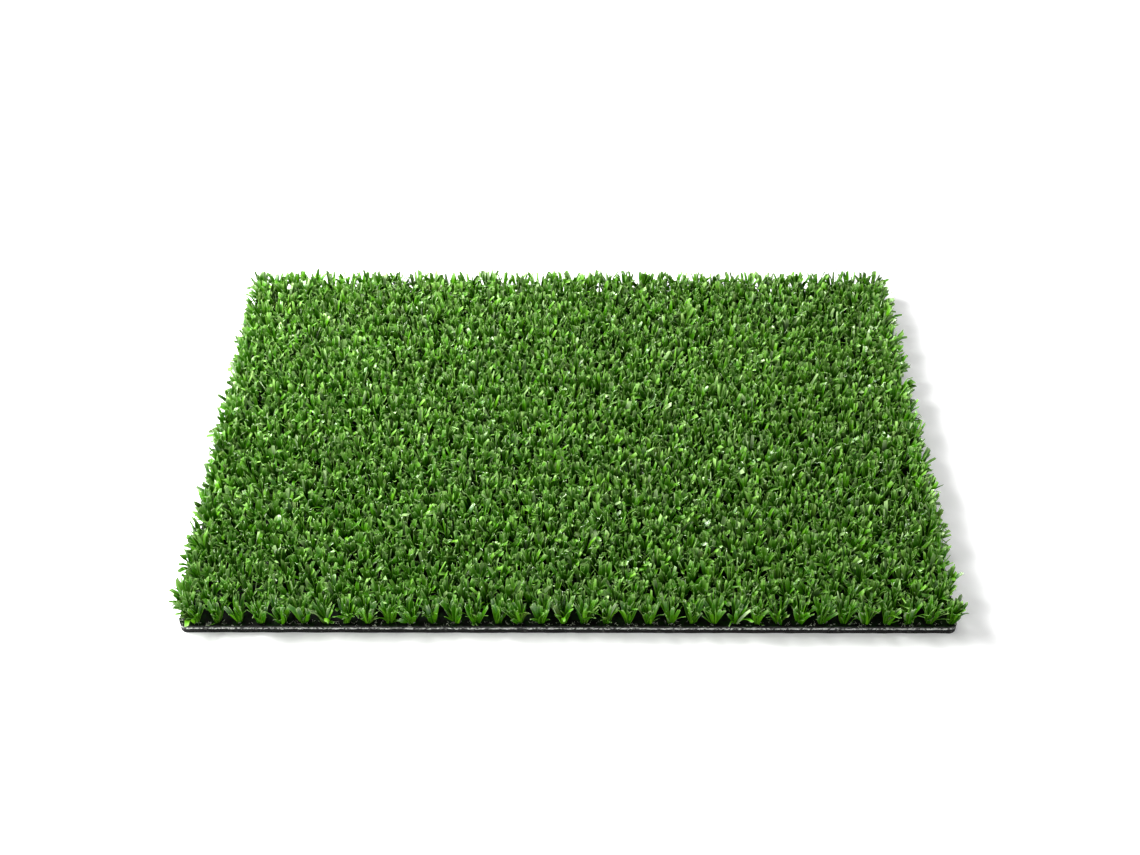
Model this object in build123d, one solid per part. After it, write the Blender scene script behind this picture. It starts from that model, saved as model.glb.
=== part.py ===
from build123d import *

# A golf hitting mat: cut-pile tufted turf laminated on a rubber base pad.
#
# It lies on the ground. Its underside is the XY plane and +Z is up. The long side and the tuft rows run
# along X. The origin is the middle of the underside. Millimetres.
#
# From the ground up: a rubber base pad, a film of adhesive, a fleece, a coat of latex and a woven primary
# backing. Each tuft row is one yarn. Its backstitch lies in a channel of the latex, right under the
# backing, and at every stitch it comes up through a slot in the backing and opens into two cut legs.

import os
from math import floor, sqrt

# Outline
mat_width = 343.0
mat_depth = 243.0
corner_radius = 3.5

# Layers, from the ground up
base_thickness = 2.2
adhesive_thickness = 0.2
fleece_thickness = 0.8
latex_thickness = 0.9
backing_thickness = 0.7
pile_height = 12.5

# Tufting
stitch_pitch = 9.5  # along a row
row_gauge = 9.525  # from row to row, a 3/8 inch needle gauge
row_stagger = stitch_pitch / 4  # every other row is shifted one way by this, and the rest the other way
selvedge = 0.15  # the least backing left between a slot and a rounded corner

# Yarn
backstitch_width = 2.2
backstitch_thickness = 0.5
root_length = 2.2  # the yarn in its slot, along the row
root_width = 2.2  # the same, across the row
leg_tip_length = 0.7
leg_tip_width = 6.0
leg_spread = 3.2  # from the middle of the tuft to the middle of a leg's tip
slot_clearance = 0.05  # all round the yarn

# Heights of the joints between the layers
base_top = base_thickness
adhesive_top = base_top + adhesive_thickness
fleece_top = adhesive_top + fleece_thickness
latex_top = fleece_top + latex_thickness
backing_top = latex_top + backing_thickness
pile_top = backing_top + pile_height

# Places of the rows and of the stitches along a row
slot_length = root_length + 2 * slot_clearance
slot_width = root_width + 2 * slot_clearance
corner_loss = corner_radius * (1 - sqrt(0.5))  # how far a rounded corner falls short of a square one
edge_margin = max(slot_length, slot_width, backstitch_width) / 2 + corner_loss + selvedge
row_count = 1 + floor((mat_depth - 2 * edge_margin) / row_gauge)
stitch_count = 1 + floor((mat_width - 2 * edge_margin - 2 * row_stagger) / stitch_pitch)


def centred(count, pitch):
    """Places that are pitch apart, with their middle at 0."""
    return [(i - (count - 1) / 2) * pitch for i in range(count)]


def row_places():
    """(shift along X, place along Y) of every tuft row, from the front to the back."""
    places = centred(row_count, row_gauge)
    return [(row_stagger if i % 2 == 0 else -row_stagger, y) for i, y in enumerate(places)]


def stitch_places():
    """Places along X of a row's stitches, before the row is shifted."""
    return centred(stitch_count, stitch_pitch)


def mat_sheet(bottom, thickness):
    """A sheet of the mat's outline."""
    outline = RectangleRounded(mat_width, mat_depth, corner_radius)
    return extrude(Pos(0, 0, bottom) * outline, thickness)


def base_pad():
    return mat_sheet(0, base_thickness)


def adhesive_film():
    return mat_sheet(base_top, adhesive_thickness)


def stabilising_fleece():
    return mat_sheet(adhesive_top, fleece_thickness)


def backstitch():
    """The yarn of one row under the backing, with its top against the backing's underside."""
    length = (stitch_count - 1) * stitch_pitch + root_length
    middle = latex_top - backstitch_thickness / 2
    return Pos(0, 0, middle) * Box(length, backstitch_width, backstitch_thickness)


def latex_coat():
    """The latex, cast round every backstitch."""
    coat = mat_sheet(fleece_top, latex_thickness)
    return coat - [Pos(x, y, 0) * backstitch() for x, y in row_places()]


def primary_backing():
    """The woven backing, with a slot for every stitch."""
    outline = RectangleRounded(mat_width, mat_depth, corner_radius).wire()
    slot = Rectangle(slot_length, slot_width).wire()
    slots = [Pos(shift + x, y) * slot for shift, y in row_places() for x in stitch_places()]
    return extrude(Pos(0, 0, latex_top) * Face(outline, slots), backing_thickness)


def tuft_leg(side):
    """One cut leg of a tuft: it leans away from the other one and fans out across the row."""
    root = Pos(side * root_length / 4, 0, backing_top) * Rectangle(root_length / 2, root_width)
    tip = Pos(side * leg_spread, 0, pile_top) * Rectangle(leg_tip_length, leg_tip_width)
    return loft([root, tip], ruled=True)


def tuft():
    """The yarn of one stitch above the backstitch: the root in its slot and two legs."""
    middle = (latex_top + backing_top) / 2
    root = Pos(0, 0, middle) * Box(root_length, root_width, backing_thickness)
    return root + tuft_leg(-1) + tuft_leg(1)


def tuft_row():
    """One yarn: a backstitch and all its tufts, centred on X and on Y."""
    one_tuft = tuft()
    return backstitch() + [Pos(x, 0, 0) * one_tuft for x in stitch_places()]


def sub_parts():
    """Every sub-part by its name."""
    parts = {
        "base_pad": base_pad(),
        "adhesive_film": adhesive_film(),
        "stabilising_fleece": stabilising_fleece(),
        "latex_coat": latex_coat(),
        "primary_backing": primary_backing(),
    }
    row = tuft_row()
    for number, (shift, y) in enumerate(row_places(), start=1):
        parts[f"tuft_row_{number:02d}"] = Pos(shift, y, 0) * row
    return parts


os.makedirs("parts", exist_ok=True)
for name, shape in sub_parts().items():
    shape.label = name
    export_step(shape, f"parts/{name}.step", write_pcurves=False)
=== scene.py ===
import logging
from dataclasses import dataclass
from enum import Enum
from itertools import islice
from math import asin, cos, hypot, pi, radians, sin
from random import Random
from typing import Iterable, Sequence, Union

import bmesh
import bpy
import numpy as np
from mathutils import Matrix, Vector, noise


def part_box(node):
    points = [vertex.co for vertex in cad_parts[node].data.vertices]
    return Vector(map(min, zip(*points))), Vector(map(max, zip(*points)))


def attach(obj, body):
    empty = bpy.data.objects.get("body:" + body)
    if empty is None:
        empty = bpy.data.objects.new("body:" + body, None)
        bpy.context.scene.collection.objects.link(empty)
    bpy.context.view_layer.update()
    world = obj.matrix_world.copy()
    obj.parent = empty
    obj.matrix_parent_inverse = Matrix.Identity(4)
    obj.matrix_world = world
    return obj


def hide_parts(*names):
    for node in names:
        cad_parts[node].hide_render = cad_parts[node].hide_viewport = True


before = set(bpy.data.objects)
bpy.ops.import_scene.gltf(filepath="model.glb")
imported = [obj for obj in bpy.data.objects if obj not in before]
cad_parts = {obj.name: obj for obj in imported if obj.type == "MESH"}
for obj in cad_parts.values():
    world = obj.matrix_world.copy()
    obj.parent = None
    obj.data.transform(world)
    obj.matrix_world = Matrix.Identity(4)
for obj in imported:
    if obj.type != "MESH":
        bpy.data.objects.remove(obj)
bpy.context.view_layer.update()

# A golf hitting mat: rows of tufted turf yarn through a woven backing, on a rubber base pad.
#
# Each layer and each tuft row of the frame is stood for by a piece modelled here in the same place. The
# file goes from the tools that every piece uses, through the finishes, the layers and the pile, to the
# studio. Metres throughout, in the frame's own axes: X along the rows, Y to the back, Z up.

MM = 0.001
STITCH_PITCH = 9.5 * MM
ROW_END = 3.55 * MM  # from a row's last stitch to the end of its box
CORNER_RADIUS = 3.5 * MM
BODY = "root"
BLADE_MAP = "blade"
BAKE_MAP = "OFBake"
TONE = "tone"
OLD_TONE = 0.95  # blades with a tone over this are pale or dull ones

log = logging.getLogger("hitting_mat")


# ---------------------------------------------------------------------------------------------------
# Shader graphs


class Wire:
    """A node's output that takes part in Python arithmetic, where each operator adds a Math node."""

    def __init__(self, graph: "Graph", socket: bpy.types.NodeSocket) -> None:
        """Args:
            graph: the graph that the socket belongs to.
            socket: the output to wrap.
        """
        self.graph = graph
        self.socket = socket

    def _math(self, operation: str, *terms: "Term") -> "Wire":
        """Args:
            operation: a Math node's operation.
            terms: its inputs, in order.

        Returns:
            The node's result.
        """
        return self.graph.node("ShaderNodeMath", {"operation": operation}, *terms)

    def __add__(self, other: "Term") -> "Wire":
        """self + other."""
        return self._math("ADD", self, other)

    def __radd__(self, other: "Term") -> "Wire":
        """other + self."""
        return self._math("ADD", other, self)

    def __sub__(self, other: "Term") -> "Wire":
        """self - other."""
        return self._math("SUBTRACT", self, other)

    def __rsub__(self, other: "Term") -> "Wire":
        """other - self."""
        return self._math("SUBTRACT", other, self)

    def __mul__(self, other: "Term") -> "Wire":
        """self * other."""
        return self._math("MULTIPLY", self, other)

    def __rmul__(self, other: "Term") -> "Wire":
        """other * self."""
        return self._math("MULTIPLY", other, self)

    def __abs__(self) -> "Wire":
        """The distance from 0."""
        return self._math("ABSOLUTE", self)

    def sine(self) -> "Wire":
        """The sine of an angle in radians."""
        return self._math("SINE", self)

    def above(self, level: float) -> "Wire":
        """1 where the value is over the level, and else 0."""
        return self._math("GREATER_THAN", self, level)

    def span(self, low: float, high: float) -> "Wire":
        """The value's way from low to high, held between 0 and 1."""
        return self.graph.node(
            "ShaderNodeMapRange", {"clamp": True}, self, low, high, 0.0, 1.0
        )


Term = Union[Wire, float]
Colour = tuple[float, float, float]


class Graph:
    """The node graph of one material."""

    def __init__(self, name: str) -> None:
        """Args:
            name: the material's name.
        """
        self.material = bpy.data.materials.new(name)
        self.material.use_nodes = True
        self.tree = self.material.node_tree
        self.tree.nodes.clear()

    def node(self, kind: str, settings: dict | None = None, *terms: object, **named: object) -> Wire | None:
        """Adds one node.

        Args:
            kind: the node's type.
            settings: its properties, set before its sockets. A ramp's stops go under "stops".
            terms: values or wires for its inputs, in order.
            named: the same for inputs by name, with _ for a space.

        Returns:
            The node's first output that is in use, if it has one.
        """
        made = self.tree.nodes.new(kind)
        for key, value in (settings or {}).items():
            if key == "stops":
                self._set_stops(made.color_ramp, value)
            else:
                setattr(made, key, value)
        inputs = [s for s in made.inputs if s.enabled]
        for socket, term in zip(inputs, terms):
            self._feed(socket, term)
        for key, term in named.items():
            self._feed(next(s for s in inputs if s.name == key.replace("_", " ")), term)
        outputs = [s for s in made.outputs if s.enabled]
        return Wire(self, outputs[0]) if outputs else None

    def output(self, wire: Wire, name: str) -> Wire:
        """Another output of the node that a wire comes from."""
        return Wire(self, wire.socket.node.outputs[name])

    def _feed(self, socket: bpy.types.NodeSocket, term: object) -> None:
        """Links a wire to a socket, or sets the socket's own value."""
        if isinstance(term, Wire):
            self.tree.links.new(term.socket, socket)
        elif socket.type == "RGBA":
            socket.default_value = (*term, 1.0)
        else:
            socket.default_value = term

    @staticmethod
    def _set_stops(ramp: bpy.types.ColorRamp, stops: Sequence[tuple[float, Colour]]) -> None:
        """Gives a ramp its stops, which are (place, colour) pairs."""
        while len(ramp.elements) < len(stops):
            ramp.elements.new(1.0)
        for element, (place, colour) in zip(ramp.elements, stops):
            element.position = place
            element.color = (*colour, 1.0)

    def place(self, *stretch: float) -> Wire:
        """Object coordinates in millimetres, stretched along X, Y and Z."""
        here = self.output(self.node("ShaderNodeTexCoord"), "Object")
        scale = tuple(s / MM for s in stretch) if stretch else (1 / MM,) * 3
        return self.node("ShaderNodeVectorMath", {"operation": "MULTIPLY"}, here, scale)

    def grain(self, where: Wire, scale: float, detail: float = 3.0) -> Wire:
        """Noise from 0 to 1.

        Args:
            where: the coordinates it is read at.
            scale: lumps per unit of them.
            detail: octaves.

        Returns:
            The noise's value.
        """
        return self.node(
            "ShaderNodeTexNoise", {"noise_dimensions": "3D"}, where, Scale=scale, Detail=detail
        )

    def ramp(self, value: Wire, stops: Sequence[tuple[float, Colour]]) -> Wire:
        """The colour of a ramp at a value."""
        return self.node("ShaderNodeValToRGB", {"stops": stops}, value)

    def mix(self, share: Term, first: Wire | Colour, second: Wire | Colour, blend: str = "MIX") -> Wire:
        """Two colours mixed.

        Args:
            share: how much of the second, from 0 to 1.
            first: a colour.
            second: another.
            blend: a Mix node's blend type.

        Returns:
            The mixed colour.
        """
        settings = {"data_type": "RGBA", "blend_type": blend}
        return self.node("ShaderNodeMix", settings, share, first, second)

    def bump(self, height: Wire, depth: float, strength: float = 1.0) -> Wire:
        """A normal bumped by a height from 0 to 1 that stands for a depth in metres."""
        return self.node("ShaderNodeBump", {}, Strength=strength, Distance=depth, Height=height)

    def shader(self, **sockets: object) -> Wire:
        """A Principled shader with values or wires for its sockets, by name with _ for a space."""
        return self.node("ShaderNodeBsdfPrincipled", {}, **sockets)

    def ended(self, shader: Wire) -> bpy.types.Material:
        """Ends the graph in a shader.

        Args:
            shader: what the surface looks like.

        Returns:
            The finished material.
        """
        self.node("ShaderNodeOutputMaterial", {}, Surface=shader)
        return self.material

    def surface(self, **sockets: object) -> bpy.types.Material:
        """Ends the graph in a Principled shader.

        Args:
            sockets: values or wires for the shader, by name with _ for a space.

        Returns:
            The finished material.
        """
        return self.ended(self.shader(**sockets))


# ---------------------------------------------------------------------------------------------------
# Finishes


@dataclass(frozen=True)
class YarnFinish:
    """Glossy polyethylene tape. The tone attribute picks each blade's own green.

    Attributes:
        slot: the material slot.
        greens: the blade's colour by its tone. The pale stop before the last two is partly a painted
            highlight on a few blades. The last two are old, dull blades.
        clouding: what slow patches of the pile are multiplied by.
        streaked: the colour of lengthwise streaks.
        lit_rim: the colour of a painted highlight along the two long edges.
        root: the colour near the root, painted shade that stands for the shade of the pile.
        dark: the colour of dark streaks.
        frayed: the pale colour of frayed tips, partly wear and partly a painted highlight.
        ridges: lengthwise ridges across a blade.
        roughness: the roughness of the smoothest streaks.
        edge_x: where the painted root shade starts and ends to thin out as the pile opens to the sides, in
            millimetres.
        edge_y: the same to the front and back.
    """

    slot: str = "pile_yarn"
    greens: tuple[tuple[float, Colour], ...] = (
        (0.00, (0.008, 0.080, 0.0005)),
        (0.25, (0.034, 0.200, 0.001)),
        (0.50, (0.080, 0.340, 0.002)),
        (0.74, (0.180, 0.520, 0.014)),
        (0.88, (0.330, 0.630, 0.130)),
        # A pale, whitish green: partly a painted highlight on the few blades that get it.
        (0.955, (0.590, 0.740, 0.440)),
        (0.970, (0.100, 0.170, 0.024)),
        (1.00, (0.070, 0.072, 0.028)),
    )
    clouding: Colour = (0.45, 0.50, 0.40)
    streaked: Colour = (0.16, 0.44, 0.02)
    lit_rim: Colour = (0.23, 0.50, 0.05)
    root: Colour = (0.001, 0.020, 0.0001)
    dark: Colour = (0.008, 0.090, 0.0005)
    frayed: Colour = (0.42, 0.62, 0.22)
    ridges: float = 5.0
    roughness: float = 0.06
    edge_x: tuple[float, float] = (161.0, 170.0)
    edge_y: tuple[float, float] = (111.0, 119.0)

    def material(self) -> bpy.types.Material:
        """Returns:
            The yarn's material.
        """
        g = Graph(self.slot)
        tone = g.output(g.node("ShaderNodeAttribute", {"attribute_name": TONE}), "Fac")
        across = g.node("ShaderNodeSeparateXYZ", {}, g.node("ShaderNodeUVMap", {"uv_map": BLADE_MAP}))
        along = g.output(across, "Y")
        streaks = g.node("ShaderNodeCombineXYZ", {}, across * 9 + tone * 71, along * 0.8, tone * 37)
        streak = g.grain(streaks, 1.0, 2.0)
        green = self.shaded_and_paled(g, self.blade_green(g, tone, across, streak), along, streak)
        ridge = (across * (2 * pi * self.ridges)).sine() * 0.5 + 0.5
        normal = g.bump(ridge * 0.6 + streak * 0.4, 0.06 * MM, 0.8)
        glossy = g.shader(
            Base_Color=green,
            Roughness=streak * 0.20 + self.roughness,
            Specular_IOR_Level=0.6,
            Normal=normal,
        )
        matt = g.shader(Base_Color=green, Roughness=1.0, Specular_IOR_Level=0.0, Normal=normal)
        return g.ended(g.node("ShaderNodeMixShader", {}, 1 - along.span(0.45, 1.0), glossy, matt))

    def blade_green(self, g: Graph, tone: Wire, across: Wire, streak: Wire) -> Wire:
        """The colour of the fresh tape, with a painted highlight along its long edges.

        Args:
            g: the material's graph.
            tone: the blade's tone.
            across: the place across the blade, from 0 to 1.
            streak: noise drawn out along the blade.

        Returns:
            The colour.
        """
        cloud = g.grain(g.place(1, 1, 1), 0.045, 2.0)
        green = g.ramp(tone, self.greens)
        green = g.mix((cloud - 0.5) * 0.9 + 0.50, green, self.clouding, "MULTIPLY")
        green = g.mix(streak.span(0.35, 0.75) * 0.35, green, self.streaked)
        # Painted highlight: both long edges are lightened as if caught by the light.
        return g.mix(abs(across - 0.5).span(0.38, 0.5) * 0.45, green, self.lit_rim)

    def shaded_and_paled(self, g: Graph, green: Wire, along: Wire, streak: Wire) -> Wire:
        """Paints shade on a colour towards the root, and pales it at the tip, partly as wear and partly as
        a painted highlight.

        Args:
            g: the material's graph.
            green: the colour of the fresh tape.
            along: the place along the blade, from 0 at the root to 1.
            streak: noise drawn out along the blade.

        Returns:
            The colour.
        """
        here = g.node("ShaderNodeSeparateXYZ", {}, g.place(1, 1, 1))
        open_x = abs(here).span(*self.edge_x)
        open_y = abs(g.output(here, "Y")).span(*self.edge_y)
        # Painted shade: the lower part of each blade darkens towards the root colour, more deeply inside
        # the pile than at its open edges.
        inner = (1 - open_x) * (1 - open_y) * 0.6 + 0.33
        green = g.mix((1 - along.span(0.38, 0.98)) * inner, green, self.root)
        green = g.mix((1 - streak.span(0.30, 0.46)) * 0.5, green, self.dark)
        # Pale tips on some streaks: partly wear, partly a painted highlight.
        tip = along.span(0.80, 1.0) * streak.span(0.42, 0.58)
        return g.mix(tip * 0.75, green, self.frayed)


@dataclass(frozen=True)
class BackingFinish:
    """Black woven slit-film tape, with dust and pale specks."""

    slot: str = "woven_backing"
    pitch: tuple[float, float] = (1.5833, 1.5875)

    def material(self) -> bpy.types.Material:
        """Returns:
            The woven backing's material.
        """
        g = Graph(self.slot)
        fine = g.grain(g.place(1, 8, 1), 1.2, 2.0)
        cross = g.grain(g.place(8, 1, 1), 1.2, 2.0)
        cells = g.place(1 / self.pitch[0], 1 / self.pitch[1], 0.0)
        tapes = g.node("ShaderNodeTexChecker", {}, cells, Scale=1.0)
        weave = g.output(tapes, "Fac")
        threads = fine * weave + cross * (1 - weave)
        dust = g.grain(g.place(1, 1, 1), 2.4, 3.0).span(0.62, 0.74)
        tone = g.output(g.node("ShaderNodeAttribute", {"attribute_name": TONE}), "Fac")
        painted_green_light = g.grain(g.place(1, 1, 1), 0.35, 4.0).span(0.45, 0.60)
        black = g.mix(threads, (0.0010, 0.0014, 0.0008), (0.0045, 0.0055, 0.0035))
        # Painted green light: dark green patches over much of the backing, as if it were lit through the
        # green pile.
        black = g.mix(painted_green_light * 0.7, black, (0.004, 0.020, 0.001))
        black = g.mix(dust * 0.30, black, (0.05, 0.07, 0.03))
        black = g.mix(tone, black, (0.50, 0.54, 0.42))
        return g.surface(
            Base_Color=black,
            Roughness=threads * 0.25 + 0.6,
            Specular_IOR_Level=0.08,
            Normal=g.bump(threads, 0.12 * MM, 0.9),
        )


@dataclass(frozen=True)
class LatexFinish:
    """Black latex: rubbery, dull, with small pits."""

    slot: str = "latex"

    def material(self) -> bpy.types.Material:
        """Returns:
            The latex's material.
        """
        g = Graph(self.slot)
        pits = g.grain(g.place(1, 1, 1.6), 1.9, 4.0)
        smear = g.grain(g.place(0.25, 0.25, 2), 1.0, 3.0)
        black = g.mix(smear.span(0.45, 0.8), (0.004, 0.004, 0.004), (0.020, 0.021, 0.019))
        height = g.output(g.node("ShaderNodeSeparateXYZ", {}, g.place(1, 1, 1)), "Z")
        patches = g.grain(g.place(0.45, 0.45, 1.5), 1.0, 4.0).span(0.54, 0.62)
        wicked = patches * (1 - height.span(3.3, 3.8))
        black = g.mix(wicked * 0.8, black, (0.42, 0.44, 0.40))
        return g.surface(
            Base_Color=black,
            Roughness=pits * 0.3 + 0.5,
            Normal=g.bump(pits, 0.25 * MM, 0.8),
        )


@dataclass(frozen=True)
class FleeceFinish:
    """Pale needled fleece, stained by the latex that has wicked into its cut edge."""

    slot: str = "fleece"

    def material(self) -> bpy.types.Material:
        """Returns:
            The fleece's material.
        """
        g = Graph(self.slot)
        fibres = g.grain(g.place(0.7, 0.7, 3.0), 2.2, 5.0)
        stain = g.grain(g.place(0.8, 0.8, 0.9), 1.0, 4.0)
        pale = g.mix(fibres.span(0.3, 0.6), (0.30, 0.32, 0.29), (0.93, 0.95, 0.90))
        pale = g.mix(stain.span(0.46, 0.58) * 0.9, pale, (0.022, 0.023, 0.021))
        return g.surface(
            Base_Color=pale,
            Roughness=0.9,
            Normal=g.bump(fibres, 0.25 * MM, 0.9),
        )


@dataclass(frozen=True)
class AdhesiveFinish:
    """A dark, slightly glossy hot-melt film."""

    slot: str = "adhesive"

    def material(self) -> bpy.types.Material:
        """Returns:
            The adhesive's material.
        """
        g = Graph(self.slot)
        beads = g.grain(g.place(0.6, 0.6, 2.0), 1.4, 3.0)
        amber = g.mix(beads.span(0.35, 0.7), (0.020, 0.018, 0.015), (0.075, 0.066, 0.050))
        return g.surface(
            Base_Color=amber,
            Roughness=beads * 0.3 + 0.2,
            Normal=g.bump(beads, 0.15 * MM, 0.7),
        )


@dataclass(frozen=True)
class RubberFinish:
    """Black crumb rubber: matt granules, with some grey ones, and scuffs on the underside."""

    slot: str = "base_rubber"

    def material(self) -> bpy.types.Material:
        """Returns:
            The rubber's material.
        """
        g = Graph(self.slot)
        where = g.place(1, 1, 1)
        crumb = g.node("ShaderNodeTexVoronoi", {"feature": "F1"}, where, Scale=0.9)
        colour = g.output(crumb, "Color")
        shade = g.node("ShaderNodeSeparateXYZ", {}, colour)
        pores = g.grain(where, 2.6, 4.0)
        scuff = g.grain(g.place(0.06, 0.02, 1), 1.0, 5.0)
        black = g.mix(shade, (0.004, 0.004, 0.004), (0.014, 0.014, 0.014))
        black = g.mix(shade.above(0.94) * 0.6, black, (0.07, 0.07, 0.065))
        black = g.mix(scuff.span(0.55, 0.75) * 0.3, black, (0.07, 0.07, 0.066))
        relief = crumb * -0.6 + pores * 0.5 + 0.5
        return g.surface(
            Base_Color=black,
            Roughness=pores * 0.25 + 0.62,
            Specular_IOR_Level=0.25,
            Normal=g.bump(relief, 0.25 * MM, 0.7),
        )


@dataclass(frozen=True)
class FloorFinish:
    """A plain matt white sweep, lit a little from below."""

    white: Colour = (0.94, 0.94, 0.94)
    glow: float = 0.16

    def material(self) -> bpy.types.Material:
        """Returns:
            The floor's material.
        """
        g = Graph("floor")
        speckle = g.grain(g.place(1, 1, 1), 0.02, 2.0)
        return g.surface(
            Base_Color=g.mix(speckle * 0.02, self.white, (0.90, 0.90, 0.90)),
            Roughness=1.0,
            Specular_IOR_Level=0.0,
            Emission_Color=self.white,
            Emission_Strength=self.glow,
        )


# ---------------------------------------------------------------------------------------------------
# Pieces


def finished(bm: bmesh.types.BMesh, name: str, material: bpy.types.Material) -> bpy.types.Object:
    """Turns a mesh into a piece of the object.

    Args:
        bm: the mesh, which is freed.
        name: the piece's name.
        material: its finish.

    Returns:
        The piece, in the scene and on the mat's body.
    """
    mesh = bpy.data.meshes.new(name)
    bm.to_mesh(mesh)
    bm.free()
    mesh.materials.append(material)
    piece = bpy.data.objects.new(name, mesh)
    bpy.context.scene.collection.objects.link(piece)
    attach(piece, BODY)
    return piece


def report(piece: bpy.types.Object) -> None:
    """Logs a piece's name and how many faces it has."""
    log.info("%s: %d faces", piece.name, len(piece.data.polygons))


def shade_smooth(bm: bmesh.types.BMesh, sharpest: float) -> None:
    """Smooths a mesh except across edges that turn by more than an angle.

    Args:
        bm: the mesh.
        sharpest: the angle, in radians.
    """
    for face in bm.faces:
        face.smooth = True
    for edge in bm.edges:
        edge.smooth = edge.calc_face_angle(pi) < sharpest


@dataclass(frozen=True)
class Outline:
    """The mat's outline, a rectangle with rounded corners, centred on the origin."""

    half_width: float
    half_depth: float
    corner: float

    @classmethod
    def of_node(cls, node: str, corner: float) -> "Outline":
        """Args:
            node: a frame node with the mat's outline.
            corner: the corner radius.

        Returns:
            Its outline.
        """
        low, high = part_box(node)
        return cls((high.x - low.x) / 2, (high.y - low.y) / 2, corner)

    def held_in(self, x: float, y: float) -> tuple[float, float]:
        """Args:
            x: a place.
            y: the same.

        Returns:
            The place, or the nearest one on a rounded corner if it is outside that corner.
        """
        inner = Vector((self.half_width - self.corner, self.half_depth - self.corner))
        past = Vector((abs(x) - inner.x, abs(y) - inner.y))
        if min(past) <= 0 or past.length <= self.corner:
            return x, y
        held = inner + past.normalized() * self.corner
        return held.x * (1 if x > 0 else -1), held.y * (1 if y > 0 else -1)

    def outward(self, x: float, y: float) -> Vector:
        """The way straight out of the mat at a place on its edge."""
        past_x = max(0.0, abs(x) - self.half_width + self.corner)
        past_y = max(0.0, abs(y) - self.half_depth + self.corner)
        return Vector((past_x * (1 if x > 0 else -1), past_y * (1 if y > 0 else -1), 0)).normalized()

    def around(self, share: float) -> tuple[Vector, Vector]:
        """A place along the outline.

        Args:
            share: how far round it is, from 0 to 1.

        Returns:
            The place and the way out from it.
        """
        width, depth = 2 * self.half_width, 2 * self.half_depth
        run = share % 1 * 2 * (width + depth)
        sides = (
            (width, Vector((-1, -1)), Vector((1, 0))),
            (depth, Vector((1, -1)), Vector((0, 1))),
            (width, Vector((1, 1)), Vector((-1, 0))),
            (depth, Vector((-1, 1)), Vector((0, -1))),
        )
        for length, corner, way in sides:
            if run <= length:
                break
            run -= length
        x = corner.x * self.half_width + way.x * run
        y = corner.y * self.half_depth + way.y * run
        x, y = self.held_in(x, y)
        return Vector((x, y, 0)), self.outward(x, y)


@dataclass
class Layer:
    """A sheet of the mat's outline whose cut edge wanders a little.

    Attributes:
        node: the frame node that it stands for.
        name: the piece's name.
        outline: the mat's outline.
        finish: its finish, which also names its slot.
        wander: how far the cut edge strays from the outline.
        inset: how far the edge stands back from the outline.
        courses: how many bands the cut edge has from bottom to top.
        step: the length of the pieces that the edge is divided into.
        lump: the length of the edge's wobbles.
        seed: moves the wobbles.
    """

    node: str
    name: str
    outline: Outline
    finish: object
    wander: float
    inset: float = 0.0
    courses: int = 3
    step: float = 1.6 * MM
    lump: float = 4 * MM
    seed: float = 0.0

    def sheet(self) -> bmesh.types.BMesh:
        """Returns:
            The layer's mesh.
        """
        low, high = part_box(self.node)
        rise = (high.z - low.z) / self.courses
        bm = bmesh.new()
        bmesh.ops.create_grid(bm, x_segments=1, y_segments=1, size=0.5)
        size = (2 * self.outline.half_width, 2 * self.outline.half_depth, 1)
        bmesh.ops.scale(bm, vec=size, verts=bm.verts)
        bmesh.ops.translate(bm, vec=(0, 0, low.z), verts=bm.verts)
        bmesh.ops.bevel(
            bm, geom=bm.verts[:], affect="VERTICES", offset=self.outline.corner, segments=8,
            profile=0.5, material=-1,
        )
        for edge in [e for e in bm.edges if e.calc_length() > 2 * self.step]:
            cuts = round(edge.calc_length() / self.step) - 1
            bmesh.ops.subdivide_edges(bm, edges=[edge], cuts=cuts)
        top = bm.faces[:]
        for course in range(self.courses):
            made = bmesh.ops.extrude_face_region(bm, geom=top)["geom"]
            raised = [v for v in made if isinstance(v, bmesh.types.BMVert)]
            bmesh.ops.translate(bm, vec=(0, 0, rise), verts=raised)
            if course:
                bmesh.ops.delete(bm, geom=top, context="FACES_ONLY")
            top = [f for f in made if isinstance(f, bmesh.types.BMFace)]
        for vert in bm.verts:
            self.stray(vert)
        bmesh.ops.recalc_face_normals(bm, faces=bm.faces)
        shade_smooth(bm, radians(50))
        return bm

    def stray(self, vert: bmesh.types.BMVert) -> None:
        """Moves a vertex of the cut edge off the clean outline."""
        out = self.outline.outward(vert.co.x, vert.co.y)
        spot = vert.co / self.lump + Vector((self.seed, 0, vert.co.z / self.lump * 2))
        wobble = noise.noise(spot) + 0.5 * noise.noise(spot * 3.1)
        vert.co += out * (self.wander * wobble - self.inset)

    def extras(self) -> bmesh.types.BMesh | None:
        """What else the piece holds. A plain layer has nothing more."""
        return None

    def build(self) -> bpy.types.Object:
        """Returns:
            The finished piece.
        """
        bm = self.sheet()
        more = self.extras()
        if more:
            joined(bm, more)
        piece = finished(bm, self.name, self.finish.material())
        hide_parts(self.node)
        report(piece)
        return piece


def joined(bm: bmesh.types.BMesh, more: bmesh.types.BMesh) -> None:
    """Adds one mesh to another, and frees the one added."""
    mesh = bpy.data.meshes.new("more")
    more.to_mesh(mesh)
    more.free()
    bm.from_mesh(mesh)
    bpy.data.meshes.remove(mesh)


def loose_fibre(
    bm: bmesh.types.BMesh, root: Vector, way: Vector, length: float, radius: float
) -> list[bmesh.types.BMVert]:
    """Adds a fibre, a thin three-sided spike with a blunt tip.

    Args:
        bm: the mesh to add it to.
        root: where it starts.
        way: the way it points.
        length: its length.
        radius: its radius at the root.

    Returns:
        Its vertices.
    """
    turned = way.to_track_quat("Z", "Y").to_matrix().to_4x4()
    matrix = Matrix.Translation(root + way.normalized() * length * 0.4) @ turned
    return bmesh.ops.create_cone(
        bm, cap_ends=True, segments=3, radius1=radius, radius2=radius * 0.4, depth=length, matrix=matrix
    )["verts"]


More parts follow.
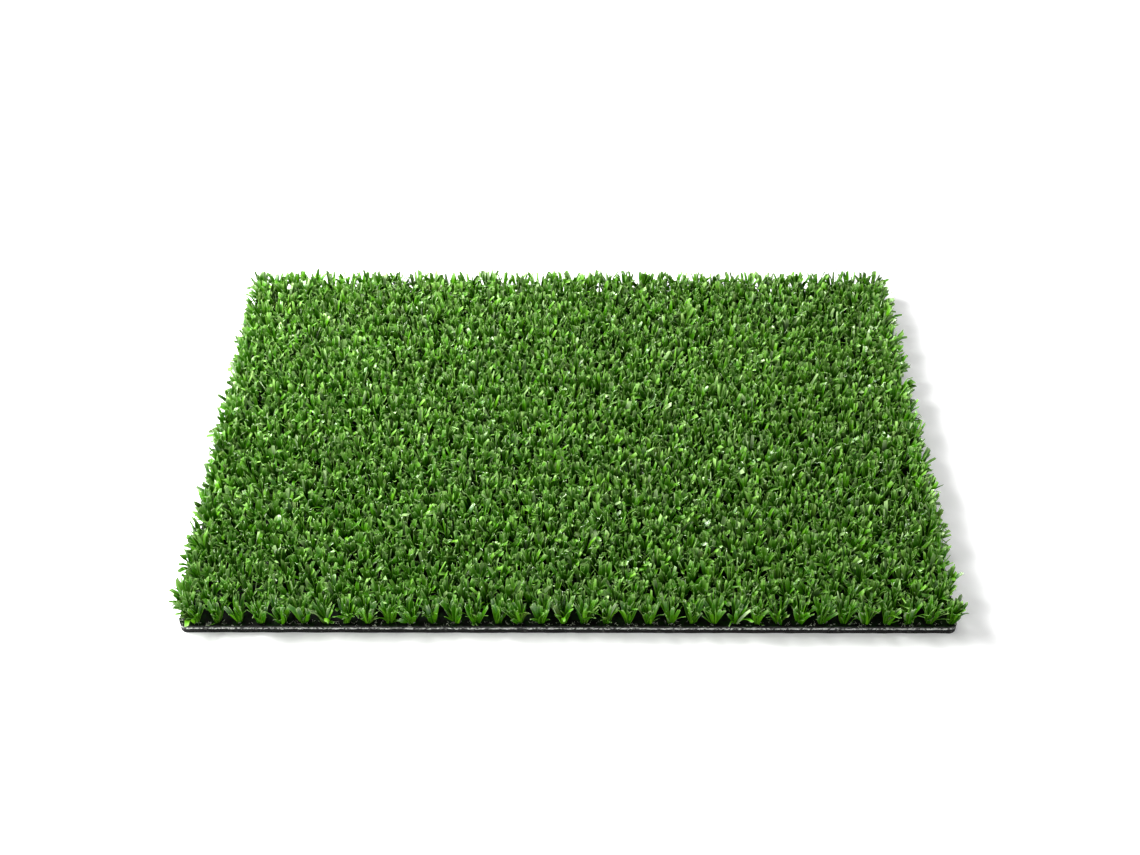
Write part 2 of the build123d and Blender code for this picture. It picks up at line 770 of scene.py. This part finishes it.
@dataclass
class FleeceLayer(Layer):
    """The fleece, with fibres that stand out of its cut edge."""

    fibres: int = 1100

    def extras(self) -> bmesh.types.BMesh:
        """Returns:
            The loose fibres.
        """
        rng = Random(41)
        bm = bmesh.new()
        low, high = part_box(self.node)
        for i in range(self.fibres):
            spot, out = self.outline.around((i + rng.random()) / self.fibres)
            root = spot + Vector((0, 0, rng.uniform(low.z, high.z)))
            along = Vector((-out.y, out.x, 0)) * rng.uniform(-2.2, 2.2)
            way = out * rng.uniform(0.2, 1.0) + along + Vector((0, 0, rng.uniform(-0.35, 0.45)))
            length, radius = rng.uniform(0.5, 1.5) * MM, rng.uniform(0.03, 0.08) * MM
            loose_fibre(bm, root - out * 0.1 * MM, way, length, radius)
        return bm


@dataclass
class WovenLayer(Layer):
    """The woven primary backing: over-and-under relief, a slot for every stitch and frayed tape ends."""

    rows: tuple["RowPlace", ...] = ()
    tapes_per_stitch: int = 6
    relief: float = 0.14 * MM
    slot_half: float = 1.15 * MM
    tape_ends: int = 260
    clumps: int = 420

    def sheet(self) -> bmesh.types.BMesh:
        """Returns:
            The woven sheet.
        """
        low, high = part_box(self.node)
        middle = (low.z + high.z) / 2
        pitch_x = self.rows[0].pitch / self.tapes_per_stitch
        pitch_y = (self.rows[1].y - self.rows[0].y) / self.tapes_per_stitch
        first_x = self.rows[0].first - pitch_x / 2
        first_y = self.rows[0].y - pitch_y / 2
        left = -int((first_x + self.outline.half_width) / pitch_x)
        front = -int((first_y + self.outline.half_depth) / pitch_y)
        columns = int(2 * self.outline.half_width / pitch_x)
        lines = int(2 * self.outline.half_depth / pitch_y)
        bm = bmesh.new()
        bmesh.ops.create_grid(bm, x_segments=columns, y_segments=lines, size=0.5)
        bm.verts.ensure_lookup_table()
        cut = []
        for vert in bm.verts:
            i = round((vert.co.x + 0.5) * columns) + left
            j = round((vert.co.y + 0.5) * lines) + front
            x = first_x + i * pitch_x
            y = first_y + j * pitch_y
            if i in (left, left + columns):
                x = self.outline.half_width * (-1 if i == left else 1)
            if j in (front, front + lines):
                y = self.outline.half_depth * (-1 if j == front else 1)
            x, y = self.outline.held_in(x, y)
            lift = self.relief if (i + j) % 2 else -self.relief
            vert.co = Vector((x, y, middle + lift))
        for face in bm.faces:
            spot = face.calc_center_median()
            row = min(self.rows, key=lambda r: abs(r.y - spot.y))
            stitch = round((spot.x - row.first) / row.pitch)
            x = row.first + stitch * row.pitch
            inside = abs(spot.x - x) < pitch_x / 3 and abs(spot.y - row.y) < pitch_y / 3
            if inside and 0 <= stitch < row.count:
                cut.append((face, Vector((x, row.y, 0))))
        for face, centre in cut:
            for vert in face.verts:
                vert.co.x = centre.x + self.slot_half * (1 if vert.co.x > centre.x else -1)
                vert.co.y = centre.y + self.slot_half * (1 if vert.co.y > centre.y else -1)
        bmesh.ops.delete(bm, geom=[face for face, _ in cut], context="FACES")
        for vert in bm.verts:
            if vert.is_boundary and max(
                abs(vert.co.x) / self.outline.half_width, abs(vert.co.y) / self.outline.half_depth
            ) > 0.99:
                self.stray(vert)
        bm.verts.layers.float.new(TONE)
        thickness = high.z - low.z - 2 * self.relief
        bmesh.ops.solidify(bm, geom=bm.faces[:], thickness=thickness)
        heights = [v.co.z for v in bm.verts]
        bmesh.ops.translate(bm, vec=(0, 0, middle - (max(heights) + min(heights)) / 2), verts=bm.verts)
        bmesh.ops.recalc_face_normals(bm, faces=bm.faces)
        shade_smooth(bm, radians(60))
        return bm

    def extras(self) -> bmesh.types.BMesh:
        """Returns:
            Frayed tape ends, and pale specks of yarn dust near the edges.
        """
        bm = bmesh.new()
        tone = bm.verts.layers.float.new(TONE)
        rng = Random(77)
        low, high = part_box(self.node)
        for i in range(self.tape_ends):
            spot, out = self.outline.around((i + rng.random()) / self.tape_ends)
            root = spot + Vector((0, 0, rng.uniform(low.z + 0.1 * MM, high.z)))
            along = Vector((-out.y, out.x, 0)) * rng.uniform(-1.5, 1.5)
            way = out * rng.uniform(0.4, 1.0) + along + Vector((0, 0, rng.uniform(-0.4, 0.5)))
            length, radius = rng.uniform(0.8, 2.6) * MM, rng.uniform(0.05, 0.14) * MM
            loose_fibre(bm, root - out * 0.3 * MM, way, length, radius)
        for i in range(self.clumps):
            spot, out = self.outline.around((i + rng.random()) / self.clumps)
            heart = spot - out * rng.uniform(0, 2.6) * MM + Vector((0, 0, high.z - 0.1 * MM))
            paleness = rng.uniform(0.25, 1.0)
            for _ in range(rng.randint(1, 8)):
                root = heart + Vector((rng.gauss(0, 0.6), rng.gauss(0, 0.45), rng.uniform(-0.15, 0.2))) * MM
                way = Vector((rng.uniform(-1, 1), rng.uniform(-1, 1), rng.uniform(-0.2, 0.5)))
                length, radius = rng.uniform(0.3, 1.2) * MM, rng.uniform(0.08, 0.24) * MM
                for vert in loose_fibre(bm, root, way, length, radius):
                    vert[tone] = paleness
        return bm

    def build(self) -> bpy.types.Object:
        """Returns:
            The finished piece.
        """
        return declared_sheet(super().build())


def declared_sheet(piece: bpy.types.Object) -> bpy.types.Object:
    """Hands a piece back unchanged; nothing is declared on it.

    Args:
        piece: the piece.

    Returns:
        The same piece.
    """
    return piece


# ---------------------------------------------------------------------------------------------------
# The pile


class TipCut(Enum):
    """How a blade's tip was cut, as the tip's offsets along the blade at its left, middle and right."""

    LEFT_SLANT = (0.5, 0.0, -0.5)
    RIGHT_SLANT = (-0.5, 0.0, 0.5)
    POINTED = (-0.9, 0.25, -0.8)
    BLUNT = (-0.1, 0.05, -0.05)
    SPLIT = (0.3, -0.7, 0.15)


@dataclass(frozen=True)
class Growth:
    """The sizes that one kind of tape is drawn from.

    Attributes:
        height: how high its tip stands over its root, and the deviation of that.
        width: its least and greatest width.
        curl: how far it bends over its face by the tip, and the deviation of that, as angles.
        grid: the faces across it and along it.
        tones: the range of its tone.
    """

    height: tuple[float, float]
    width: tuple[float, float]
    curl: tuple[float, float]
    grid: tuple[int, int]
    tones: tuple[float, float] = (0.0, 1.0)


class Kind(Enum):
    """The kinds of tape in a tuft."""

    TAPE = Growth((13.3 * MM, 0.75 * MM), (1.25 * MM, 2.3 * MM), (0.35, 0.65), (2, 4))
    FIBRIL = Growth((12.8 * MM, 1.6 * MM), (0.30 * MM, 0.70 * MM), (0.5, 0.8), (1, 4), (0.55, 1.0))
    THATCH = Growth((7.0 * MM, 1.6 * MM), (0.9 * MM, 2.0 * MM), (0.5, 0.6), (1, 3), (0.0, 0.5))


@dataclass(frozen=True)
class RowPlace:
    """Where a tuft row's stitches are.

    Attributes:
        node: the row's frame node.
        first: the first stitch's place along X.
        pitch: from one stitch to the next.
        count: how many stitches.
        y: the row's place.
    """

    node: str
    first: float
    pitch: float
    count: int
    y: float

    @classmethod
    def of_node(cls, node: str, pitch: float, reach: float) -> "RowPlace":
        """Args:
            node: a tuft row's frame node.
            pitch: the stitch pitch.
            reach: how far the row's end stands past its last stitch.

        Returns:
            The row's stitches.
        """
        low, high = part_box(node)
        length = high.x - low.x - 2 * reach
        return cls(node, low.x + reach, pitch, 1 + round(length / pitch), (low.y + high.y) / 2)


@dataclass
class Blade:
    """One tape of a tuft, from its slot to its cut tip.

    Attributes:
        root: the middle of its lower end.
        reach: how far its tip would stand to the side of its root if it were straight.
        curl: how far it bends over its face by the tip, as an angle.
        kink: how late it bends, from 1 for an even bend.
        length: its length.
        width: its full width.
        facing: the angle about Z that its width points along.
        twist: how much that angle grows to the tip.
        fold: the depth of its lengthwise crease, as a share of its width.
        cut: how the tip was cut.
        tone: picks its colour.
        grid: the faces across it and along it.
    """

    root: Vector
    reach: Vector
    curl: float
    kink: float
    length: float
    width: float
    facing: float
    twist: float
    fold: float
    cut: TipCut
    tone: float
    grid: tuple[int, int]
    thickness: float = 0.13 * MM

    def stations(self) -> list[tuple[Vector, Vector, Vector, Vector]]:
        """Returns:
            (centre, side, face, along) at each station from the root to the tip.
        """
        count = self.grid[1]
        out = self.reach.normalized()
        lean = asin(min(0.95, self.reach.length / self.length))
        stem = out * sin(lean) + Vector((0, 0, cos(lean)))
        flat = Vector((cos(self.facing), sin(self.facing), 0))
        side = (flat - stem * flat.dot(stem)).normalized()
        face = side.cross(stem)
        if face.dot(out) < 0:
            side, face = -side, -face
        centre = self.root.copy()
        made = []
        for k in range(count + 1):
            bend = self.curl * (k / count) ** self.kink
            turn = self.twist * k / count
            along = stem * cos(bend) + face * sin(bend)
            across = face * cos(bend) - stem * sin(bend)
            made.append((
                centre.copy(),
                side * cos(turn) + across * sin(turn),
                across * cos(turn) - side * sin(turn),
                along,
            ))
            bend = self.curl * ((k + 0.6) / count) ** self.kink
            centre += (stem * cos(bend) + face * sin(bend)) * (self.length / count)
        return made

    def shaped(self, verts: Iterable[bmesh.types.BMVert]) -> None:
        """Moves a flat pattern blade's vertices to this blade's shape.

        Args:
            verts: vertices of a pattern that is 1 wide, 1 long and 1 thick.
        """
        stations = self.stations()
        count = self.grid[1]
        for vert in verts:
            across, share, depth = vert.co
            k = round(share * count)
            centre, side, face, along = stations[k]
            width = self.width * (0.6 + 0.4 * min(1.0, 3.0 * share))
            if k == count:
                width *= 0.8
            fold = self.fold * self.width * (1.6 - share) * (1 - 2 * abs(across))
            spot = centre + side * (across * width)
            spot += face * (depth * self.thickness + fold)
            if k == count:
                spot += along * (self.cut.value[round(2 * across) + 1] * 0.45 * self.width)
            vert.co = spot


@dataclass
class Pile:
    """The cut pile: one piece for each tuft row.

    Attributes:
        outline: the mat's outline.
        rows: the rows' places, from the front.
        floor: the height of the backing's underside, where the blades start.
        finish: the yarn's finish.
        tapes: how many full tapes a tuft has.
        front_tapes: the least and the most of them in the front row.
        front_lean: the deviation of a front tuft's lean to one side.
        front_breadth: the range that a front tuft's blades are widened by.
        edge_tapes: how many more a tuft has where the selvedge beside it is wide.
        corner_tapes: how many more the tufts nearest the front left corner have, which droop over it.
        fibrils: how many thin, split tapes a tuft has.
        thatch: how many short, low tapes a tuft has.
        front_thatch: the same in the front row.
        near_rows: how many rows from the front lean less to the sides.
        near_reach: the share of their reach that they keep.
        near_overhang: the share of their overhang that their outermost blades keep.
        spread: how far a tip reaches along each axis inside the mat.
        overhang: how far tips reach past the side edges, and past the front and back edges.
        seed: of every random draw.
    """

    outline: Outline
    rows: tuple[RowPlace, ...]
    floor: float
    finish: YarnFinish
    tapes: int = 20
    front_tapes: tuple[int, int] = (15, 21)
    front_lean: float = 1.0 * MM
    front_breadth: tuple[float, float] = (0.8, 1.2)
    edge_tapes: int = 16
    corner_tapes: int = 14
    fibrils: int = 8
    thatch: int = 10
    front_thatch: int = 3
    near_rows: int = 4
    near_reach: float = 0.7
    near_overhang: float = 0.4
    spread: float = 5.8 * MM
    overhang: tuple[float, float] = (2.2 * MM, 1.8 * MM)
    seed: int = 2027

    def pattern(self, grid: tuple[int, int]) -> bpy.types.Mesh:
        """Args:
            grid: the faces across the blade and along it.

        Returns:
            A flat blade, 1 wide, 1 long and 1 thick, that blades are shaped from.
        """
        bm = bmesh.new()
        bmesh.ops.create_grid(bm, x_segments=grid[0], y_segments=grid[1], size=0.5)
        bmesh.ops.translate(bm, vec=(0, 0.5, 0), verts=bm.verts)
        bmesh.ops.solidify(bm, geom=bm.faces[:], thickness=1.0)
        lowest = min(v.co.z for v in bm.verts)
        bmesh.ops.translate(bm, vec=(0, 0, -0.5 - lowest), verts=bm.verts)
        bmesh.ops.recalc_face_normals(bm, faces=bm.faces)
        shade_smooth(bm, radians(60))
        self.lay_out(bm)
        mesh = bpy.data.meshes.new("blade_pattern")
        bm.to_mesh(mesh)
        bm.free()
        return mesh

    @staticmethod
    def lay_out(bm: bmesh.types.BMesh) -> None:
        """Gives the pattern its two UV maps: one for the finish, and one with room for every face."""
        blade = bm.loops.layers.uv.new(BLADE_MAP)
        bake = bm.loops.layers.uv.new(BAKE_MAP)
        for face in bm.faces:
            for loop in face.loops:
                across, share, depth = loop.vert.co
                loop[blade].uv = (across + 0.5, share)
                v = 0.04 + 0.92 * share
                if abs(face.normal.z) > 0.5:
                    u = 0.24 + 0.40 * across if face.normal.z > 0 else 0.74 + 0.40 * across
                elif abs(face.normal.x) > 0.5:
                    u = (0.47 if face.normal.x > 0 else 0.97) + 0.04 * depth
                else:
                    u = 0.24 + 0.40 * across
                    v += 0.03 * (depth + 0.5) * (1 if share > 0.5 else -1)
                loop[bake].uv = (u, v)

    def limit(self, place: float, half: float, overhang: float, way: float) -> float:
        """How far a tip may reach along one axis.

        Args:
            place: the tuft's place along that axis.
            half: half of the mat's size along it.
            overhang: how far tips may stand past the mat's edge.
            way: -1 or 1, the way that the tip leans.

        Returns:
            The greatest reach that way.
        """
        margin = half - place * way
        return margin + overhang if margin < self.rows[0].pitch else self.spread

    def blade(self, rng: Random, centre: Vector, leg: int, kind: Kind) -> Blade:
        """Draws one blade of a tuft.

        Args:
            rng: where its random sizes come from.
            centre: the middle of the tuft's root.
            leg: -1 for the tuft's left leg and 1 for its right leg.
            kind: the kind of tape.

        Returns:
            The blade.
        """
        growth = kind.value
        root = centre + Vector((leg * rng.uniform(0.05, 0.95), rng.uniform(-0.85, 0.85), 0)) * MM
        side = rng.choice((-1, 1))
        limit_x = self.limit(centre.x, self.outline.half_width, self.overhang[0], leg)
        limit_y = self.limit(centre.y, self.outline.half_depth, self.overhang[1], side)
        reach = Vector((leg * rng.uniform(-0.3, 1.0) * limit_x, side * rng.uniform(0.0, 1.0) * limit_y, 0))
        height = rng.gauss(*growth.height)
        return Blade(
            root=root,
            reach=reach,
            curl=rng.gauss(*growth.curl),
            kink=rng.uniform(1.2, 3.0),
            length=(height + hypot(height, reach.length)) / 2,
            width=rng.uniform(*growth.width),
            facing=rng.gauss(0, 0.9),
            twist=rng.gauss(0, 0.8),
            fold=rng.uniform(-0.30, 0.40),
            cut=rng.choices(list(TipCut), (30, 30, 12, 22, 6))[0],
            tone=rng.uniform(*growth.tones),
            grid=growth.grid,
        )

    def tuft(self, rng: Random, centre: Vector, front: bool) -> list[Blade]:
        """Draws one tuft's blades, in its two legs.

        Args:
            rng: where the random sizes come from.
            centre: the middle of the tuft's root.
            front: whether it is in the front row.

        Returns:
            The blades.
        """
        made = []
        tapes = rng.randint(*self.front_tapes) if front else self.tapes
        thatch = self.front_thatch if front else self.thatch
        for kind, count in ((Kind.TAPE, tapes), (Kind.FIBRIL, self.fibrils), (Kind.THATCH, thatch)):
            made += [self.blade(rng, centre, 1 if i % 2 else -1, kind) for i in range(count)]
        if front:
            self.open_out(rng, made)
        near = centre.y < self.rows[self.near_rows].y
        for blade in made if near else ():
            blade.reach.x *= self.near_reach
        margin = self.outline.half_width - abs(centre.x)
        pitch = self.rows[0].pitch
        if centre.y < self.rows[2].y and centre.x < 0 and margin < pitch:
            made += [self.drooping(rng, centre) for _ in range(self.corner_tapes)]
        if pitch / 2 < margin < pitch:
            made += self.outer(rng, centre, near)
        return made

    def open_out(self, rng: Random, blades: Iterable[Blade]) -> None:
        """Leans a front tuft to one side and spreads its legs, with straighter and darker blades.

        Args:
            rng: where the random sizes come from.
            blades: the tuft's blades.
        """
        lean, breadth = rng.gauss(0, self.front_lean), rng.uniform(*self.front_breadth)
        for blade in blades:
            blade.reach.x = blade.reach.x * 1.05 + lean
            blade.curl *= 0.6
            blade.width *= breadth
            blade.tone -= 0.2 if blade.tone < OLD_TONE else 0.0

    def outer(self, rng: Random, centre: Vector, near: bool) -> list[Blade]:
        """Draws the blades that fill a wide selvedge beside a row's last tuft.

        Args:
            rng: where the random sizes come from.
            centre: the middle of the tuft's root.
            near: whether it is in one of the rows nearest the front.

        Returns:
            The blades.
        """
        leg = 1 if centre.x > 0 else -1
        made = [self.blade(rng, centre, leg, Kind.TAPE) for _ in range(self.edge_tapes)]
        limit = self.limit(centre.x, self.outline.half_width, self.overhang[0], leg)
        limit *= self.near_overhang if near else 1.0
        for blade in made:
            blade.reach.x = leg * rng.uniform(0.4, 1.0) * limit
        return made

    def drooping(self, rng: Random, centre: Vector) -> Blade:
        """Draws a blade that hangs over the mat's front left corner.

        Args:
            rng: where its random sizes come from.
            centre: the middle of the tuft's root.

        Returns:
            The blade.
        """
        blade = self.blade(rng, centre, -1, rng.choice((Kind.TAPE, Kind.FIBRIL, Kind.FIBRIL)))
        way = Vector((-self.outline.half_width - centre.x, -self.outline.half_depth - centre.y, 0))
        stray = Vector((rng.uniform(-2.0, 2.0), rng.uniform(-1.5, 1.5), 0)) * MM
        blade.reach = way * rng.uniform(0.1, 0.6) + stray
        blade.facing = rng.gauss(0, 0.8)
        blade.curl = rng.uniform(0.7, 1.5)
        blade.tone = rng.choice((rng.uniform(0, 0.2), rng.uniform(0.97, 1.0)))
        return blade

    def backstitch(self, bm: bmesh.types.BMesh, place: RowPlace) -> None:
        """Adds the yarn's run under the backing.

        Args:
            bm: the row's mesh.
            place: the row's stitches.
        """
        half = 1.05 * MM
        length = (place.count - 1) * place.pitch + 2 * half
        made = bmesh.ops.create_grid(bm, x_segments=place.count * 2, y_segments=4, size=0.5)["verts"]
        bmesh.ops.scale(bm, vec=(length, 2 * half, 1), verts=made)
        middle = place.first + (place.count - 1) * place.pitch / 2
        bmesh.ops.translate(bm, vec=(middle, place.y, self.floor - 0.1 * MM), verts=made)
        for vert in made:
            ridge = noise.noise(Vector((vert.co.x / (3 * MM), vert.co.y / (0.4 * MM), place.y / MM)))
            vert.co.z += 0.06 * MM * ridge
        faces = list({f for v in made for f in v.link_faces})
        bmesh.ops.solidify(bm, geom=faces, thickness=0.3 * MM)

    def row(
        self,
        place: RowPlace,
        number: int,
        patterns: dict[tuple[int, int], bpy.types.Mesh],
        yarn: bpy.types.Material,
    ) -> bpy.types.Object:
        """Makes one tuft row.

        Args:
            place: the row's stitches.
            number: its number, from the front.
            patterns: the flat blades by their grids.
            yarn: its material.

        Returns:
            The finished piece.
        """
        rng = Random(self.seed + number)
        blades = []
        for i in range(place.count):
            centre = Vector((place.first + i * place.pitch, place.y, self.floor))
            blades += self.tuft(rng, centre, number == 1)
        bm = bmesh.new()
        for blade in blades:
            bm.from_mesh(patterns[blade.grid])
        bm.verts.ensure_lookup_table()
        verts = iter(bm.verts[:])
        for blade in blades:
            blade.shaped(islice(verts, len(patterns[blade.grid].vertices)))
        self.backstitch(bm, place)
        piece = finished(bm, f"turf_row_{number:02d}", yarn)
        self.colour(piece.data, blades, [len(patterns[b.grid].vertices) for b in blades])
        self.spread_map(piece.data, [len(patterns[b.grid].loops) for b in blades])
        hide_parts(place.node)
        report(piece)
        return piece

    @staticmethod
    def colour(mesh: bpy.types.Mesh, blades: Sequence[Blade], sizes: Sequence[int]) -> None:
        """Writes each blade's tone on its vertices.

        Args:
            mesh: the row's mesh.
            blades: its blades, in order.
            sizes: how many vertices each blade has.
        """
        tones = np.full(len(mesh.vertices), 0.5, np.float32)
        tones[:sum(sizes)] = np.repeat([b.tone for b in blades], sizes)
        layer = mesh.attributes.new(TONE, "FLOAT", "POINT")
        layer.data.foreach_set("value", tones)

    @staticmethod
    def spread_map(mesh: bpy.types.Mesh, sizes: Sequence[int]) -> None:
        """Gives every blade, and the backstitch, a cell of its own in the OFBake UV map.

        Args:
            mesh: the row's mesh.
            sizes: how many face corners each blade has.
        """
        layer = mesh.uv_layers[BAKE_MAP]
        uv = np.zeros(len(mesh.loops) * 2, np.float32)
        layer.uv.foreach_get("vector", uv)
        uv = uv.reshape(-1, 2)
        count = len(sizes)
        columns = int(np.ceil(np.sqrt(count + 1) * 1.35))
        lines = -(-(count + 1) // columns)
        owner = np.repeat(np.arange(count + 1), [*sizes, len(uv) - sum(sizes)])
        cell = np.stack([owner % columns, owner // columns], 1)
        last = owner == count
        verts = np.zeros(len(mesh.loops), np.int32)
        mesh.loops.foreach_get("vertex_index", verts)
        places = np.zeros(len(mesh.vertices) * 3, np.float32)
        mesh.vertices.foreach_get("co", places)
        places = places.reshape(-1, 3)[verts[last]]
        low, high = places.min(0), places.max(0)
        share = (places - low) / (high - low)
        uv[last] = share[:, :2] * 0.9 + 0.05
        uv[last, 1] += 0.04 * share[:, 2]
        uv = (uv + cell) / (columns, lines)
        layer.uv.foreach_set("vector", uv.astype(np.float32).ravel())

    def build(self) -> list[bpy.types.Object]:
        """Returns:
            The rows' pieces, from the front.
        """
        patterns = {kind.value.grid: self.pattern(kind.value.grid) for kind in Kind}
        yarn = self.finish.material()
        made = [self.row(place, i, patterns, yarn) for i, place in enumerate(self.rows, start=1)]
        for pattern in patterns.values():
            bpy.data.meshes.remove(pattern)
        return made


# ---------------------------------------------------------------------------------------------------
# The studio


@dataclass
class Softbox:
    """A square area light that looks at the mat."""

    name: str
    spot: tuple[float, float, float]
    side: float
    power: float

    def build(self) -> None:
        """Adds the light to the scene."""
        light = bpy.data.lights.new(self.name, "AREA")
        light.shape = "SQUARE"
        light.size = self.side
        light.energy = self.power
        lamp = bpy.data.objects.new(self.name, light)
        lamp.location = self.spot
        lamp.rotation_euler = (-Vector(self.spot)).to_track_quat("-Z", "Y").to_euler()
        bpy.context.scene.collection.objects.link(lamp)


@dataclass
class Studio:
    """A white floor, soft lights and the camera."""

    camera_place: tuple[float, float, float] = (0.0007, -0.5847, 0.5376)
    camera_pitch: float = radians(90 - 41.91)
    camera_roll: float = radians(0.08)
    lens: float = 50.35
    floor_side: float = 8.0
    sky: float = 0.23
    softboxes: tuple[Softbox, ...] = (
        Softbox("key", (-0.85, 0.06, 0.85), 0.60, 14.5),
        Softbox("kicker", (-0.34, 0.12, 0.38), 0.24, 5.6),
        Softbox("back", (-0.1, 0.50, 1.2), 0.45, 4.2),
        Softbox("fill", (0.15, -0.80, 1.0), 1.00, 3.0),
    )

    def build(self) -> None:
        """Adds the floor, the lights, the sky and the camera."""
        self.floor()
        self.light()
        self.camera()

    def floor(self) -> None:
        """Adds the floor."""
        bm = bmesh.new()
        bmesh.ops.create_grid(bm, x_segments=1, y_segments=1, size=self.floor_side / 2)
        mesh = bpy.data.meshes.new("floor")
        bm.to_mesh(mesh)
        bm.free()
        mesh.materials.append(FloorFinish().material())
        plane = bpy.data.objects.new("floor", mesh)
        bpy.context.scene.collection.objects.link(plane)

    def light(self) -> None:
        """Adds the softboxes and an even white sky."""
        for softbox in self.softboxes:
            softbox.build()
        world = bpy.data.worlds.new("sky")
        world.use_nodes = True
        world.node_tree.nodes["Background"].inputs["Color"].default_value = (1, 1, 1, 1)
        world.node_tree.nodes["Background"].inputs["Strength"].default_value = self.sky
        scene = bpy.context.scene
        scene.world = world
        scene.view_settings.view_transform = "Standard"

    def camera(self) -> None:
        """Adds the camera and makes it the scene's own."""
        data = bpy.data.cameras.new("camera")
        data.lens = self.lens
        data.clip_start = 0.01
        shot = bpy.data.objects.new("camera", data)
        shot.location = self.camera_place
        shot.rotation_euler = (self.camera_pitch, 0, 0)
        shot.rotation_euler.rotate_axis("Z", self.camera_roll)
        bpy.context.scene.collection.objects.link(shot)
        bpy.context.scene.camera = shot


# ---------------------------------------------------------------------------------------------------
# Assembly


def row_places() -> tuple[RowPlace, ...]:
    """Returns:
        Every tuft row's place, from the front.
    """
    nodes = sorted(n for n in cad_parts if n.startswith("tuft_row_"))
    return tuple(RowPlace.of_node(n, STITCH_PITCH, ROW_END) for n in nodes)


def main() -> None:
    """Builds the studio, then the mat from the ground up."""
    logging.basicConfig(level=logging.INFO, format="%(name)s: %(message)s")
    Studio().build()
    outline = Outline.of_node("base_pad", CORNER_RADIUS)
    rows = row_places()
    base = Layer("base_pad", "rubber_base_pad", outline, RubberFinish(), wander=0.18 * MM, lump=7 * MM)
    base.build()
    film = Layer(
        "adhesive_film", "adhesive_film_sheet", outline, AdhesiveFinish(), wander=0.2 * MM, inset=0.15 * MM,
        courses=1, seed=5.0,
    )
    film.build()
    fleece = FleeceLayer(
        "stabilising_fleece", "fleece_sheet", outline, FleeceFinish(), wander=0.3 * MM, courses=3,
        step=0.9 * MM, lump=1.6 * MM, seed=9.0,
    )
    declared_sheet(fleece.build())
    latex = Layer(
        "latex_coat", "latex_layer", outline, LatexFinish(), wander=0.25 * MM, inset=0.1 * MM, lump=3 * MM,
        seed=13.0,
    )
    latex.build()
    backing = WovenLayer(
        "primary_backing", "woven_backing_sheet", outline, BackingFinish(), wander=0.35 * MM, lump=2 * MM,
        seed=21.0, rows=rows,
    )
    backing.build()
    Pile(outline, rows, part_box("primary_backing")[0].z, YarnFinish()).build()


if __name__ == "__main__":
    main()
